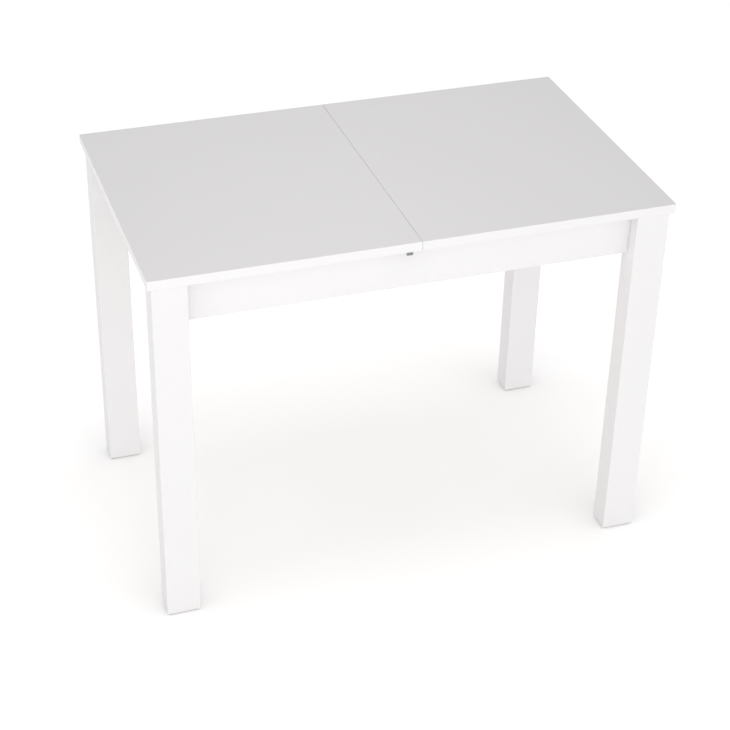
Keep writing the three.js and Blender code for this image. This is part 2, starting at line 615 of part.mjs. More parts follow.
/** The sliding latch plate of one long side: slotted body, thumb tab, and an arm with a tooth. */
function latchPlate({ name, sy }) {
  const bodyLeft = LATCH_CENTRE_X - LATCH_LENGTH / 2;
  const bodyRight = LATCH_CENTRE_X + LATCH_LENGTH / 2;
  const tabLeft = LATCH_CENTRE_X - LATCH_TAB_WIDTH / 2;
  const tabRight = LATCH_CENTRE_X + LATCH_TAB_WIDTH / 2;
  const toothEnd = TOOTH_START_X + LATCH_TOOTH_WIDTH;
  const points = [
    [bodyLeft, LATCH_BODY_IN],
    [bodyRight, LATCH_BODY_IN],
    [bodyRight, LATCH_ARM_IN],
    [TOOTH_START_X, LATCH_ARM_IN],
    [TOOTH_START_X, LATCH_ARM_IN - LATCH_TOOTH_LENGTH],
    [toothEnd, LATCH_ARM_IN - LATCH_TOOTH_LENGTH],
    [toothEnd, LATCH_ARM_OUT],
    [bodyRight, LATCH_ARM_OUT],
    [bodyRight, LATCH_BODY_OUT],
    [tabRight, LATCH_BODY_OUT],
    [tabRight, LATCH_TAB_OUT],
    [tabLeft, LATCH_TAB_OUT],
    [tabLeft, LATCH_BODY_OUT],
    [bodyLeft, LATCH_BODY_OUT],
  ];
  const plan = outline(points.map(([x, y]) => [x, sy * y]));
  const geometry = upright(plan, LATCH_PLATE_THICKNESS).translate(0, 0, LATCH_BOTTOM);
  const mesh = piece(`latch_plate_${name}`, geometry, FINISHES.greySteel(), [0, 0, 0]);
  const tabY = [sy * LATCH_TAB_OUT, sy * (LATCH_TAB_OUT - LATCH_PLATE_THICKNESS)].sort((a, b) => a - b);
  const tab = block(
    [tabLeft, tabY[0], TOP_UNDERSIDE - LATCH_TAB_DROP],
    [tabRight, tabY[1], LATCH_TOP],
  );
  const slot = slotOutline(LATCH_SLOT_WIDTH, LATCH_SLOT_LENGTH);
  const slotMiddle = sy * (LATCH_SLOT_IN + LATCH_SLOT_LENGTH / 2);
  const slots = LATCH_SCREW_X.map((x) =>
    upright(slot, LATCH_PLATE_THICKNESS + 2).translate(x, slotMiddle, LATCH_BOTTOM - 1),
  );
  return cut(join(mesh, [tab]), slots);
}

/** A small pan-head screw that goes up into the top, with its head below the latch plate. */
function smallScrew(name, x, y, radius) {
  const shankBottom = SMALL_SCREW_HEAD_TOP;
  const shankTop = TOP_UNDERSIDE + SMALL_SCREW_LENGTH;
  const overlap = SMALL_SCREW_HEAD_THICKNESS / 2;
  const shankLength = shankTop - shankBottom + overlap;
  const shank = rod('z', [0, 0, shankTop - shankLength / 2], radius, shankLength);
  const headMiddle = SMALL_SCREW_HEAD_TOP - SMALL_SCREW_HEAD_THICKNESS / 2;
  const head = rod('z', [x, y, headMiddle], SMALL_SCREW_HEAD_RADIUS, SMALL_SCREW_HEAD_THICKNESS);
  return join(piece(name, shank, FINISHES.zincSteel(), [x, y, 0]), [head]);
}

// ---------------------------------------------------------------- extension leaf

/** The leaf, stored crosswise: its seam edges face the front and the back, and its corners are square. */
function extensionLeaf() {
  const low = [-LEAF_WIDTH / 2, -LEAF_LENGTH / 2, LEAF_BOTTOM];
  const high = [LEAF_WIDTH / 2, LEAF_LENGTH / 2, LEAF_BOTTOM + TOP_THICKNESS];
  const mesh = board('extension_leaf', low, high, FINISHES.foiledBoard());
  const middle = LEAF_BOTTOM + TOP_THICKNESS / 2;
  const radius = DOWEL_RADIUS + DOWEL_CLEARANCE;
  const drillings = [
    { depth: DOWEL_REACH + 1, side: -1 },
    { depth: DOWEL_LENGTH - DOWEL_REACH + DOWEL_CLEARANCE, side: 1 },
  ];
  const holes = drillings.flatMap(({ depth, side }) =>
    DOWEL_PLACES.map((x) => {
      const y = side * (LEAF_LENGTH / 2 - (depth - 1) / 2);
      return rod('y', [x, y, middle], radius, depth + 1);
    }),
  );
  return cut(mesh, holes);
}

/** One of the dowels in the leaf's edge. */
function leafDowel(index) {
  const centreY = LEAF_LENGTH / 2 + DOWEL_REACH - DOWEL_LENGTH / 2;
  const geometry = rod('y', [0, 0, 0], DOWEL_RADIUS, DOWEL_LENGTH);
  const centre = [DOWEL_PLACES[index], centreY, LEAF_BOTTOM + TOP_THICKNESS / 2];
  return piece(`leaf_dowel_${LEAF_DOWEL_NAMES[index]}`, geometry, FINISHES.beech(), centre);
}

// ---------------------------------------------------------------- assembly

/** Groups pieces under one node. */
function group(...pieces) {
  const assembly = new THREE.Group();
  assembly.add(...pieces);
  return assembly;
}

const frame = group(
  ...CORNERS.map(leg),
  ...CORNERS.map(footGlide),
  ...CORNERS.map(cornerBracket),
  ...CORNERS.map(legBolt),
  ...CORNERS.map(legNut),
  ...LONG_SIDES.map(longApron),
  ...ENDS.map(shortApron),
  ...LONG_SIDES.map(guideRail),
  ...ENDS.map(leafBatten),
  ...CORNERS.map(battenBracket),
  ...RUNNERS.map(stopBumper),
);

const leftHalf = group(
  leftTop(),
  ...DOWEL_NAMES.map((_, index) => seamDowel(index)),
  ...RUNNERS.filter(({ sx }) => sx < 0).map(runner),
  ...LATCH_SCREW_PLACES.map(({ name, x, y }) => smallScrew(`latch_screw_${name}`, x, y, SMALL_SCREW_RADIUS)),
  ...LONG_SIDES.map(latchPlate),
);

const rightHalf = group(
  rightTop(),
  ...RUNNERS.filter(({ sx }) => sx > 0).map(runner),
  ...KEEPER_PLACES.map(({ name, x, y }) => smallScrew(`keeper_pin_${name}`, x, y, KEEPER_RADIUS)),
);

const leaf = group(extensionLeaf(), ...LEAF_DOWEL_NAMES.map((_, index) => leafDowel(index)));

const table = group(frame, leftHalf, rightHalf, leaf);

export default table;
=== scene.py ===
"""Looks of an extendable dining table: foiled boards, hardwood runners, steel fittings and a pale studio.

Everything is in metres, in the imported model's own frame. Each sub-assembly is a class that builds its
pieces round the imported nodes, and the finishes are small classes that build procedural materials.
"""

import logging
import math
from dataclasses import dataclass, field, replace
from enum import Enum
from typing import Callable, Iterable, Sequence, Union

import bmesh
import bpy
from mathutils import Matrix, Vector


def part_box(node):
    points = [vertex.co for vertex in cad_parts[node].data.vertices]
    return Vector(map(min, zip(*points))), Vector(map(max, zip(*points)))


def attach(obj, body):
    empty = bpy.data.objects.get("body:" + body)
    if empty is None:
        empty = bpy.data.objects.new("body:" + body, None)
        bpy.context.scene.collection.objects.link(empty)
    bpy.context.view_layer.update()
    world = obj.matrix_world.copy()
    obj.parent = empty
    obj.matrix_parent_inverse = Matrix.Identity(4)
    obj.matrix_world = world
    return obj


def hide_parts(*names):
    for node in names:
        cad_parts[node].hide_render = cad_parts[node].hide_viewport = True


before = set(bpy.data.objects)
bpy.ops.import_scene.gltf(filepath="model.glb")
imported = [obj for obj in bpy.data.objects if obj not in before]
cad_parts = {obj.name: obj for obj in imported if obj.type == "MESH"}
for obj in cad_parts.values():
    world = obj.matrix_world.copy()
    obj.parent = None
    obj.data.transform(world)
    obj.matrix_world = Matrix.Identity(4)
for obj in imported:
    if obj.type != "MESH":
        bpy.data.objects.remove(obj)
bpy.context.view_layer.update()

LOG = logging.getLogger("table")
MM = 0.001
ROUNDING = "rounding"

Colour = tuple[float, float, float]
Node = bpy.types.Node
Socket = bpy.types.NodeSocket
Mesh = bpy.types.Mesh
Edge = bmesh.types.BMEdge
Value = Union[Socket, float, Sequence[float]]


class Slot(Enum):
    """The record's material slots."""

    FOIL = "foiled_board"
    HARDWOOD = "hardwood"
    SOFTWOOD = "softwood"
    ZINC = "zinc_steel"
    GREY_STEEL = "grey_steel"
    GLIDE = "glide_plastic"
    RUBBER = "bumper_rubber"


class Body(Enum):
    """The bodies that pieces ride on."""

    FRAME = "frame"
    LEFT = "left_top"
    RIGHT = "right_top"
    FRONT_LATCH = "front_latch"
    BACK_LATCH = "back_latch"
    LEAF = "leaf"


class Axis(Enum):
    """The direction that wood grain runs in."""

    X = 0
    Y = 1
    Z = 2


# ------------------------------------------------------------------ shader graphs


class Graph:
    """A node tree with short ways to add nodes and join them."""

    def __init__(self, tree: bpy.types.NodeTree) -> None:
        """Empties the tree.

        Args:
            tree: the tree of a material, a world or a node group.
        """
        self.tree = tree
        tree.nodes.clear()

    def add(self, kind: str, inputs: dict | None = None, **settings: object) -> Node:
        """Adds a node.

        Args:
            kind: the node's type.
            inputs: values or sockets by input name or index.
            settings: attributes of the node.

        Returns:
            The new node.
        """
        node = self.tree.nodes.new(kind)
        for name, value in settings.items():
            setattr(node, name, value)
        for name, value in (inputs or {}).items():
            self.feed(node.inputs[name], value)
        return node

    def feed(self, socket: Socket, value: Value) -> None:
        """Links a socket to another one, or sets its value."""
        if isinstance(value, Socket):
            self.tree.links.new(value, socket)
        else:
            socket.default_value = value

    def math(self, operation: str, a: Value, b: Value = 0.0) -> Socket:
        """The result of a Math node."""
        return self.add("ShaderNodeMath", {0: a, 1: b}, operation=operation).outputs[0]

    def ramp(
        self, value: Value, low: float, high: float, to: tuple[float, float] = (0.0, 1.0)
    ) -> Socket:
        """A value mapped smoothly from low..high to another range.

        Args:
            value: the value to map.
            low: where the range starts.
            high: where the range ends.
            to: the range it is mapped to.

        Returns:
            The mapped value, clamped.
        """
        sockets = {"Value": value, "From Min": low, "From Max": high, "To Min": to[0], "To Max": to[1]}
        return self.add("ShaderNodeMapRange", sockets, interpolation_type="SMOOTHSTEP").outputs["Result"]

    def mix(self, factor: Value, a: Value, b: Value) -> Socket:
        """Two colours mixed by a factor."""
        node = self.add("ShaderNodeMix", data_type="RGBA")
        for socket, value in zip((node.inputs[0], node.inputs[6], node.inputs[7]), (factor, a, b)):
            self.feed(socket, value)
        return node.outputs[2]

    def noise(
        self, vector: Value, scale: float, detail: float = 2.0, roughness: float = 0.5
    ) -> Socket:
        """The value of a Noise Texture, about 0.5 on average.

        Args:
            vector: where it is read.
            scale: features per metre.
            detail: how many octaves.
            roughness: how strong the small octaves are.

        Returns:
            The noise value.
        """
        sockets = {"Vector": vector, "Scale": scale, "Detail": detail, "Roughness": roughness}
        return self.add("ShaderNodeTexNoise", sockets).outputs[0]

    def stretched(
        self, vector: Value, scale: Sequence[float], turn: Sequence[float] = (0, 0, 0)
    ) -> Socket:
        """A vector turned and scaled by a Mapping node."""
        return self.add("ShaderNodeMapping", {"Vector": vector, "Rotation": turn, "Scale": scale}).outputs[0]


@dataclass(frozen=True)
class Port:
    """A named input or output of a node group."""

    name: str
    kind: str
    default: Value | None = None


class SharedGroup:
    """A shader node group, built once and placed in each material that uses it."""

    name = ""
    takes: tuple[Port, ...] = ()
    gives: tuple[Port, ...] = ()

    def wire(self, graph: Graph, source: Node) -> dict[str, Socket]:
        """Builds the inside of the group.

        Args:
            graph: the group's tree.
            source: the Group Input node.

        Returns:
            The socket that feeds each output, by name.
        """
        raise NotImplementedError

    def tree(self) -> bpy.types.NodeTree:
        """The group's node tree, made on first use."""
        found = bpy.data.node_groups.get(self.name)
        if found is not None:
            return found
        tree = bpy.data.node_groups.new(self.name, "ShaderNodeTree")
        for port in self.takes:
            socket = tree.interface.new_socket(port.name, in_out="INPUT", socket_type=port.kind)
            if port.default is not None:
                socket.default_value = port.default
        for port in self.gives:
            tree.interface.new_socket(port.name, in_out="OUTPUT", socket_type=port.kind)
        graph = Graph(tree)
        source = graph.add("NodeGroupInput")
        results = self.wire(graph, source)
        graph.add("NodeGroupOutput", results)
        return tree

    def place(self, graph: Graph, inputs: dict[str, Value]) -> Node:
        """Adds the group to a material.

        Args:
            graph: the material's graph.
            inputs: values or sockets by input name.

        Returns:
            The group node.
        """
        node = graph.add("ShaderNodeGroup", node_tree=self.tree())
        for name, value in inputs.items():
            graph.feed(node.inputs[name], value)
        return node


FLOAT = "NodeSocketFloat"
COLOUR = "NodeSocketColor"
VECTOR = "NodeSocketVector"


class EdgeWearAndHighlight(SharedGroup):
    """A broken mask of the rounded edges, where handling has polished a surface; on the foil it also whitens
    the edges as a painted highlight.
    """

    name = "edge_wear_and_highlight"
    takes = (Port("Vector", VECTOR), Port("Patch Scale", FLOAT, 60.0), Port("Amount", FLOAT, 0.5))
    gives = (Port("Mask", FLOAT),)

    def wire(self, graph: Graph, source: Node) -> dict[str, Socket]:
        """Builds the mask from the pieces' rounding attribute and a noise."""
        edge = graph.add("ShaderNodeAttribute", attribute_name=ROUNDING, attribute_type="GEOMETRY")
        patches = graph.add("ShaderNodeTexNoise", {"Vector": source.outputs["Vector"], "Detail": 3.0})
        graph.feed(patches.inputs["Scale"], source.outputs["Patch Scale"])
        broken = graph.ramp(patches.outputs[0], 0.38, 0.62)
        worn = graph.math("MULTIPLY", edge.outputs["Fac"], broken)
        return {"Mask": graph.math("MULTIPLY", worn, source.outputs["Amount"])}


class FoilTexture(SharedGroup):
    """The printed foil on a board: a faint drift of tone, a fine pore, a satin sheen, and rounded edges
    whitened partly by wear and partly as a painted highlight.
    """

    name = "foil_texture"
    takes = (
        Port("Vector", VECTOR),
        Port("Colour", COLOUR, (0.8, 0.8, 0.8, 1.0)),
        Port("Tone Drift", FLOAT, 0.02),
        Port("Roughness", FLOAT, 0.42),
        Port("Wear", FLOAT, 0.0),
    )
    gives = (Port("Colour", COLOUR), Port("Roughness", FLOAT), Port("Height", FLOAT))

    def wire(self, graph: Graph, source: Node) -> dict[str, Socket]:
        """Builds tone, roughness and height from noises at three scales."""
        vector = source.outputs["Vector"]
        drift = graph.noise(vector, 3.5, 3.0)
        cloud = graph.noise(vector, 28.0, 2.0)
        pore = graph.noise(vector, 1700.0, 2.0, 0.6)
        blend = graph.math("ADD", graph.math("MULTIPLY", drift, 0.7), graph.math("MULTIPLY", cloud, 0.3))
        shade = graph.math("MULTIPLY", graph.ramp(blend, 0.3, 0.7), source.outputs["Tone Drift"])
        darker = graph.mix(shade, source.outputs["Colour"], (0.55, 0.53, 0.51, 1.0))
        # Rounded edges mixed towards white: partly wear, partly a painted highlight on the foil's edges.
        pale = graph.mix(graph.math("MULTIPLY", source.outputs["Wear"], 0.25), darker, (0.9, 0.89, 0.87, 1.0))
        sheen = graph.ramp(cloud, 0.25, 0.75, (-0.03, 0.03))
        satin = graph.math("ADD", source.outputs["Roughness"], sheen)
        polished = graph.math("SUBTRACT", satin, graph.math("MULTIPLY", source.outputs["Wear"], 0.1))
        return {"Colour": pale, "Roughness": polished, "Height": pore}


class WoodGrain(SharedGroup):
    """Planed wood: growth bands, fibres along the local X axis, and short dark flecks."""

    name = "wood_grain"
    takes = (
        Port("Vector", VECTOR),
        Port("Light", COLOUR, (0.7, 0.5, 0.3, 1.0)),
        Port("Dark", COLOUR, (0.4, 0.25, 0.12, 1.0)),
        Port("Bands", FLOAT, 90.0),
        Port("Flecks", FLOAT, 0.5),
        Port("Wear", FLOAT, 0.0),
    )
    gives = (Port("Colour", COLOUR), Port("Roughness", FLOAT), Port("Height", FLOAT))

    def wire(self, graph: Graph, source: Node) -> dict[str, Socket]:
        """Builds the grain from stretched noises and a distorted wave."""
        vector = source.outputs["Vector"]
        slow = graph.stretched(vector, (0.12, 1.0, 1.0))
        wave = graph.add(
            "ShaderNodeTexWave",
            {"Vector": slow, "Distortion": 9.0, "Detail": 3.0, "Detail Scale": 1.4},
            wave_type="BANDS",
            bands_direction="DIAGONAL",
            wave_profile="SAW",
        )
        graph.feed(wave.inputs["Scale"], source.outputs["Bands"])
        fibre = graph.noise(graph.stretched(vector, (0.02, 1.0, 1.0)), 1500.0, 3.0, 0.6)
        fleck = graph.noise(graph.stretched(vector, (0.12, 1.0, 1.0)), 900.0, 1.0)
        dashes = graph.math("MULTIPLY", graph.ramp(fleck, 0.64, 0.72), source.outputs["Flecks"])
        board = graph.noise(vector, 6.0, 2.0)
        rings = graph.math("MULTIPLY", wave.outputs["Fac"], 0.45)
        depth = graph.math("ADD", rings, graph.math("MULTIPLY", fibre, 0.4))
        depth = graph.math("ADD", depth, graph.math("MULTIPLY", board, 0.25))
        body = graph.mix(graph.ramp(depth, 0.3, 0.95), source.outputs["Light"], source.outputs["Dark"])
        flecked = graph.mix(dashes, body, source.outputs["Dark"])
        bared = graph.math("MULTIPLY", source.outputs["Wear"], 0.35)
        worn = graph.mix(bared, flecked, source.outputs["Light"])
        rough = graph.ramp(fibre, 0.2, 0.8, (0.48, 0.66))
        height = graph.math("SUBTRACT", fibre, graph.math("MULTIPLY", dashes, 0.6))
        return {"Colour": worn, "Roughness": rough, "Height": height}


class MetalSkin(SharedGroup):
    """A metal or moulded skin: cloudy tone, fine scratches and a speckled height."""

    name = "metal_skin"
    takes = (
        Port("Vector", VECTOR),
        Port("Colour", COLOUR, (0.6, 0.6, 0.6, 1.0)),
        Port("Worn Colour", COLOUR, (0.7, 0.7, 0.7, 1.0)),
        Port("Roughness", FLOAT, 0.35),
        Port("Speckle Scale", FLOAT, 900.0),
        Port("Wear", FLOAT, 0.0),
    )
    gives = (Port("Colour", COLOUR), Port("Roughness", FLOAT), Port("Height", FLOAT))

    def wire(self, graph: Graph, source: Node) -> dict[str, Socket]:
        """Builds clouds, scratches and speckle from noises."""
        vector = source.outputs["Vector"]
        cloud = graph.noise(vector, 70.0, 3.0)
        scratch = graph.noise(graph.stretched(vector, (0.06, 1.0, 0.6), (0.4, 0.3, 0.7)), 1400.0, 2.0, 0.7)
        speckle = graph.add("ShaderNodeTexNoise", {"Vector": vector, "Detail": 1.0})
        graph.feed(speckle.inputs["Scale"], source.outputs["Speckle Scale"])
        haze = graph.ramp(cloud, 0.3, 0.7, (0.0, 0.12))
        tone = graph.mix(haze, source.outputs["Colour"], (0.05, 0.05, 0.05, 1.0))
        worn = graph.mix(source.outputs["Wear"], tone, source.outputs["Worn Colour"])
        swing = graph.ramp(graph.math("ADD", cloud, scratch), 0.7, 1.3, (-0.08, 0.1))
        rough = graph.math("ADD", source.outputs["Roughness"], swing)
        height = graph.math("ADD", speckle.outputs[0], graph.math("MULTIPLY", scratch, 0.4))
        return {"Colour": worn, "Roughness": rough, "Height": height}


def opaque(colour: Colour) -> tuple[float, float, float, float]:
    """A colour with full alpha."""
    return (*colour, 1.0)


@dataclass(frozen=True)
class Finish:
    """A finish that builds one procedural material.

    The material reads Object coordinates, so a pattern stays on its piece, and wears on rounded edges; on the
    foil that edge mask also paints a highlight.
    """

    name: str
    colour: Colour
    slot: Slot
    roughness: float = 0.4
    wear: float = 0.5
    bump: float = 0.15
    bump_depth: float = 0.02 * MM

    def surface(self, graph: Graph, vector: Socket, wear: Socket) -> Node:
        """The group node whose Colour, Roughness and Height dress the surface."""
        raise NotImplementedError

    def constants(self, shader: Node) -> None:
        """Sets the shader's uniform values."""

    def material(self) -> bpy.types.Material:
        """The finish's material, made on first use."""
        found = bpy.data.materials.get(self.name)
        if found is not None:
            return found
        material = bpy.data.materials.new(self.name)
        material.use_nodes = True
        graph = Graph(material.node_tree)
        vector = graph.add("ShaderNodeTexCoord").outputs["Object"]
        wear = EdgeWearAndHighlight().place(graph, {"Vector": vector, "Amount": self.wear}).outputs["Mask"]
        skin = self.surface(graph, vector, wear)
        bump = graph.add(
            "ShaderNodeBump",
            {"Height": skin.outputs["Height"], "Strength": self.bump, "Distance": self.bump_depth},
        )
        shader = graph.add(
            "ShaderNodeBsdfPrincipled",
            {
                "Base Color": skin.outputs["Colour"],
                "Roughness": skin.outputs["Roughness"],
                "Normal": bump.outputs["Normal"],
            },
        )
        self.constants(shader)
        graph.add("ShaderNodeOutputMaterial", {"Surface": shader.outputs["BSDF"]})
        return material


@dataclass(frozen=True)
class FoilFinish(Finish):
    """White foil on a board, or the matching edge band."""

    slot: Slot = Slot.FOIL
    drift: float = 0.03

    def surface(self, graph: Graph, vector: Socket, wear: Socket) -> Node:
        """Places the foil texture."""
        inputs = {
            "Vector": vector,
            "Colour": opaque(self.colour),
            "Tone Drift": self.drift,
            "Roughness": self.roughness,
            "Wear": wear,
        }
        return FoilTexture().place(graph, inputs)


@dataclass(frozen=True)
class WoodFinish(Finish):
    """Planed wood whose grain runs along one axis."""

    dark: Colour = (0.4, 0.25, 0.12)
    grain: Axis = Axis.X
    bands: float = 90.0
    flecks: float = 0.5

    def surface(self, graph: Graph, vector: Socket, wear: Socket) -> Node:
        """Places the wood grain, turned to the grain's axis."""
        turn = {Axis.X: (0, 0, 0), Axis.Y: (0, 0, -math.pi / 2), Axis.Z: (0, math.pi / 2, 0)}[self.grain]
        inputs = {
            "Vector": graph.stretched(vector, (1, 1, 1), turn),
            "Light": opaque(self.colour),
            "Dark": opaque(self.dark),
            "Bands": self.bands,
            "Flecks": self.flecks,
            "Wear": wear,
        }
        return WoodGrain().place(graph, inputs)


@dataclass(frozen=True)
class SkinFinish(Finish):
    """Plated, painted, moulded or rubber skin."""

    worn: Colour = (0.7, 0.7, 0.72)
    metallic: float = 0.0
    speckle: float = 900.0

    def surface(self, graph: Graph, vector: Socket, wear: Socket) -> Node:
        """Places the metal skin."""
        inputs = {
            "Vector": vector,
            "Colour": opaque(self.colour),
            "Worn Colour": opaque(self.worn),
            "Roughness": self.roughness,
            "Speckle Scale": self.speckle,
            "Wear": wear,
        }
        return MetalSkin().place(graph, inputs)

    def constants(self, shader: Node) -> None:
        """Sets how metallic the skin is."""
        shader.inputs["Metallic"].default_value = self.metallic


FOIL = FoilFinish("white_foil", (0.795, 0.787, 0.793), roughness=0.45)
EDGE_BAND = FoilFinish("white_edge_band", (0.805, 0.797, 0.80), roughness=0.4, drift=0.015, bump=0.1)
BEECH = WoodFinish("waxed_beech", (0.66, 0.45, 0.27), Slot.HARDWOOD, dark=(0.52, 0.32, 0.17), flecks=0.4)
DOWEL_BEECH = WoodFinish(
    "turned_beech", (0.72, 0.5, 0.29), Slot.HARDWOOD, dark=(0.48, 0.28, 0.14), flecks=0.5, bump=0.2
)
LEAF_DOWEL_BEECH = replace(DOWEL_BEECH, name="turned_beech_y", grain=Axis.Y)
PINE = WoodFinish(
    "planed_pine",
    (0.8, 0.6, 0.33),
    Slot.SOFTWOOD,
    dark=(0.58, 0.34, 0.14),
    grain=Axis.Y,
    bands=45.0,
    flecks=0.0,
)
ZINC = SkinFinish(
    "zinc_plate", (0.6, 0.61, 0.64), Slot.ZINC, roughness=0.38, metallic=1.0, wear=0.3, bump=0.06
)
GREY_STEEL = SkinFinish(
    "grey_steel_coat",
    (0.29, 0.29, 0.295),
    Slot.GREY_STEEL,
    roughness=0.45,
    worn=(0.45, 0.45, 0.46),
    wear=0.35,
    bump=0.3,
    speckle=1500.0,
)
GLIDE = SkinFinish(
    "glide_plastic_skin",
    (0.5, 0.49, 0.48),
    Slot.GLIDE,
    roughness=0.55,
    worn=(0.6, 0.59, 0.57),
    wear=0.25,
    bump=0.25,
    speckle=1300.0,
)
RUBBER = SkinFinish(
    "bumper_rubber_skin", (0.03, 0.03, 0.03), Slot.RUBBER, roughness=0.75, worn=(0.12, 0.12, 0.12), bump=0.3
)


# ------------------------------------------------------------------ shapes


class Solid:
    """A piece in the making: one bmesh in metres, in the frame's coordinates."""

    def __init__(self) -> None:
        """Starts an empty bmesh with the attribute that marks rounded edges."""
        self.bm = bmesh.new()
        self.marks = self.bm.faces.layers.float.new(ROUNDING)

    @classmethod
    def block(cls, low: Vector, high: Vector) -> "Solid":
        """A block between its lowest and highest corner."""
        solid = cls()
        middle = Matrix.Translation((low + high) / 2)
        bmesh.ops.create_cube(solid.bm, size=1.0, matrix=middle @ Matrix.Diagonal((*(high - low), 1.0)))
        return solid

    @classmethod
    def from_node(cls, node: str) -> "Solid":
        """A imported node's shape, with its loose triangles merged into clean faces."""
        solid = cls()
        solid.bm.from_mesh(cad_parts[node].data)
        solid.marks = solid.bm.faces.layers.float.get(ROUNDING) or solid.bm.faces.layers.float.new(ROUNDING)
        bmesh.ops.remove_doubles(solid.bm, verts=solid.bm.verts, dist=1e-6)
        bmesh.ops.dissolve_limit(
            solid.bm, angle_limit=math.radians(0.5), verts=solid.bm.verts, edges=solid.bm.edges
        )
        return solid

    @classmethod
    def spun(cls, profile: Sequence[tuple[float, float]], steps: int = 24) -> "Solid":
        """A turned shape about Z from a profile of radius and height, which starts and ends on the axis."""
        solid = cls()
        verts = [solid.bm.verts.new((radius, 0.0, height)) for radius, height in profile]
        edges = [solid.bm.edges.new(pair) for pair in zip(verts, verts[1:])]
        bmesh.ops.spin(
            solid.bm,
            geom=verts + edges,
            cent=(0, 0, 0),
            axis=(0, 0, 1),
            dvec=(0, 0, 0),
            angle=2 * math.pi,
            steps=steps,
            use_merge=True,
        )
        bmesh.ops.remove_doubles(solid.bm, verts=solid.bm.verts, dist=1e-7)
        bmesh.ops.recalc_face_normals(solid.bm, faces=solid.bm.faces)
        for face in solid.bm.faces:
            face.smooth = True
        return solid

    def round(
        self, radius: float, segments: int = 3, keep: Callable[[Edge], bool] | None = None
    ) -> "Solid":
        """Rounds the sharp edges and marks the new faces.

        Args:
            radius: how far the rounding reaches from each edge.
            segments: how many faces it has.
            keep: which of the sharp edges are rounded; all of them if it is left out.

        Returns:
            The same solid.
        """
        sharp = [
            edge
            for edge in self.bm.edges
            if len(edge.link_faces) == 2
            and edge.calc_face_angle(0.0) > math.radians(35)
            and (keep is None or keep(edge))
        ]
        made = bmesh.ops.bevel(
            self.bm,
            geom=sharp,
            offset=radius,
            offset_type="OFFSET",
            segments=segments,
            profile=0.5,
            affect="EDGES",
            clamp_overlap=True,
            material=-1,
        )
        for face in made["faces"]:
            face[self.marks] = 1.0
            face.smooth = True
        return self

    def round_upright(self, radius: float, segments: int = 6) -> "Solid":
        """Rounds the edges that run along Z."""
        return self.round(radius, segments, is_upright)

    def moved(self, matrix: Matrix) -> "Solid":
        """Places the shape by a matrix."""
        bmesh.ops.transform(self.bm, matrix=matrix, verts=self.bm.verts)
        return self

    def add(self, mesh: Mesh, matrix: Matrix) -> "Solid":
        """Adds a copy of a finished mesh, placed by a matrix."""
        before = len(self.bm.verts)
        self.bm.from_mesh(mesh)
        self.bm.verts.ensure_lookup_table()
        bmesh.ops.transform(self.bm, matrix=matrix, verts=self.bm.verts[before:])
        return self

    def mesh(self, name: str) -> Mesh:
        """Writes the bmesh to a mesh and frees it."""
        mesh = bpy.data.meshes.new(name)
        self.bm.to_mesh(mesh)
        self.bm.free()
        return mesh


def is_upright(edge: Edge) -> bool:
    """True for an edge that runs along Z."""
    return abs((edge.verts[0].co - edge.verts[1].co).normalized().z) > 0.99


def is_level(edge: Edge) -> bool:
    """True for an edge whose ends are at the same height."""
    return abs(edge.verts[0].co.z - edge.verts[1].co.z) < 1e-6


def cut(mesh: Mesh, cutters: Iterable[Mesh]) -> Mesh:
    """Cuts shapes out of a mesh with exact booleans.

    Args:
        mesh: the mesh that is cut.
        cutters: closed meshes in the same coordinates.

    Returns:
        A new mesh.
    """
    scene = bpy.context.scene.collection
    blank = bpy.data.objects.new("blank", mesh)
    scene.objects.link(blank)
    tools = []
    for cutter in cutters:
        tool = bpy.data.objects.new("tool", cutter)
        scene.objects.link(tool)
        boolean = blank.modifiers.new("cut", "BOOLEAN")
        boolean.operation = "DIFFERENCE"
        boolean.solver = "EXACT"
        boolean.object = tool
        tools.append(tool)
    bpy.context.view_layer.update()
    shaped = blank.evaluated_get(bpy.context.evaluated_depsgraph_get())
    result = bpy.data.meshes.new_from_object(shaped)
    for spent in [blank, *tools]:
        bpy.data.objects.remove(spent)
    return result


def facing(point: Sequence[float], out: Sequence[float]) -> Matrix:
    """The matrix that stands a shape made about +Z at a point, facing another way."""
    turn = Vector((0, 0, 1)).rotation_difference(Vector(out)).to_matrix().to_4x4()
    return Matrix.Translation(Vector(point)) @ turn


def rod(
    point: Sequence[float], out: Sequence[float], radius: float, length: float, sides: int = 32
) -> Mesh:
    """A round rod from a point, along a direction."""
    solid = Solid()
    bmesh.ops.create_cone(
        solid.bm, cap_ends=True, segments=sides, radius1=radius, radius2=radius, depth=length,
        matrix=facing(point, out) @ Matrix.Translation((0, 0, length / 2)),
    )
    return solid.mesh("rod")


def piece(
    name: str, shape: Union[Solid, Mesh], finish: Finish, body: Body, replaces: Sequence[str] = ()
) -> bpy.types.Object:
    """Makes a finished piece that rides on a body.

    Args:
        name: the piece's name.
        shape: its bmesh or mesh.
        finish: its finish.
        body: the body that it rides on.
        replaces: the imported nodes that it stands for.

    Returns:
        The new object.
    """
    mesh = shape.mesh(name) if isinstance(shape, Solid) else shape
    mesh.name = name
    mesh.materials.clear()
    mesh.materials.append(finish.material())
    made = bpy.data.objects.new(name, mesh)
    bpy.context.scene.collection.objects.link(made)
    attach(made, body.value)
    if replaces:
        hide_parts(*replaces)
    LOG.info("%s: %d faces on %s", name, len(mesh.polygons), body.value)
    return made


def rounded_node(name: str, node: str, finish: Finish, body: Body, radius: float, segments: int = 3) -> None:
    """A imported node's shape with rounded edges, which stands for that node."""
    piece(name, Solid.from_node(node).round(radius, segments), finish, body, [node])


# ------------------------------------------------------------------ boards


